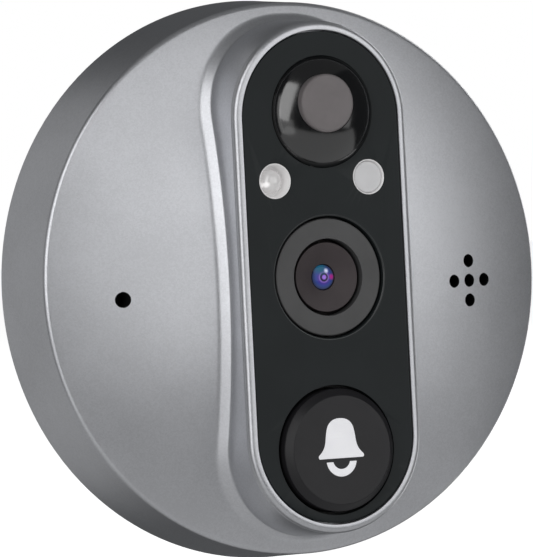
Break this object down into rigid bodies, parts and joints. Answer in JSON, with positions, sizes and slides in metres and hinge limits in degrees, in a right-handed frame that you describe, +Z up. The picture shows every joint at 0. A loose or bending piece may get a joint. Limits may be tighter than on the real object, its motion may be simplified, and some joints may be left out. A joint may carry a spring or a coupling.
{
  "type": "door viewer",
  "caption": "Round domed door-viewer camera for the outside of a door: a raised round-ended island holds a motion sensor, lamps, camera and sprung bell button.",
  "frame": {"origin": "centre of the door hole, on the door's outer face, which is the back face of the foam pad", "axes": "+Z up, +Y into the door, so the front faces -Y; +X is right as the visitor sees it"},
  "size_m": [0.0644, 0.0297, 0.0644],
  "materials": {
    "silver_paint": "fine metallic silver-grey paint on a moulded or die-cast shell",
    "gloss_black": "polished black",
    "panel_black": "smooth, slightly soft gloss",
    "satin_black": "satin moulded",
    "dark_grey": "satin moulded",
    "lens_grey": "milky, infrared-clear polyethylene",
    "icon_white": "smooth",
    "lamp_white": "smooth, translucent white",
    "clear_plastic": "polished",
    "coated_glass": "anti-reflection coated",
    "module_black": "fine moulded grain",
    "rubber_black": "matt",
    "silicone_grey": "matt",
    "steel": "nickel plated",
    "brass": "turned",
    "board_green": "solder mask over glass-epoxy laminate"
  },
  "bodies": {
    "viewer_body": {"front_housing": "silver_paint", "front_panel": "panel_black", "panel_adhesive": "rubber_black", "back_cover": "satin_black", "housing_seal": "silicone_grey", "cable_grommet": "rubber_black", "adhesive_pad": "rubber_black", "pir_dome": "gloss_black", "pir_lens": "lens_grey", "pir_spacer": "module_black", "pir_sensor_can": "steel", "pir_sensor_window": "module_black", "camera_trim_ring": "dark_grey", "lens_barrel": "module_black", "front_lens": "coated_glass", "rear_lens": "clear_plastic", "lens_holder": "module_black", "infrared_filter": "coated_glass", "image_sensor": "module_black", "button_spring": "steel", "button_carrier": "module_black", "button_gasket": "silicone_grey", "switch_body": "module_black", "speaker_frame": "module_black", "speaker_diaphragm": "dark_grey", "speaker_gasket": "rubber_black", "speaker_screen": "dark_grey", "microphone_boot": "rubber_black", "microphone_capsule": "steel", "main_board": "board_green", "image_processor": "module_black", "flash_memory": "module_black", "ribbon_connector": "lamp_white", "mount_post_left": "brass", "mount_post_right": "brass", "lamp_chip_left": "lamp_white", "light_pipe_left": "lamp_white", "lamp_lens_left": "clear_plastic", "lamp_chip_right": "lamp_white", "light_pipe_right": "lamp_white", "lamp_lens_right": "clear_plastic", "cover_screw_1": "steel", "board_screw_1": "steel", "cover_screw_2": "steel", "board_screw_2": "steel", "cover_screw_3": "steel", "board_screw_3": "steel", "cover_screw_4": "steel", "board_screw_4": "steel"},
    "bell_button": {"bell_button_cap": "satin_black", "bell_icon": "icon_white"},
    "switch_plunger": {"switch_plunger": "lamp_white"}
  },
  "joints": [
    {"name": "bell_button_press", "type": "slide", "parent": "viewer_body", "child": "bell_button", "axis": [0, 1, 0], "range_m": [0, 0.0008], "stiffness_N_per_m": 1500, "springref_m": -0.001, "deforming": ["button_spring"]},
    {"name": "switch_plunger_press", "type": "slide", "parent": "viewer_body", "child": "switch_plunger", "axis": [0, 1, 0], "range_m": [0, 0.0008]}
  ],
  "couplings": [
    {"joint": "switch_plunger_press", "follows": "bell_button_press", "ratio": 1}
  ]
}
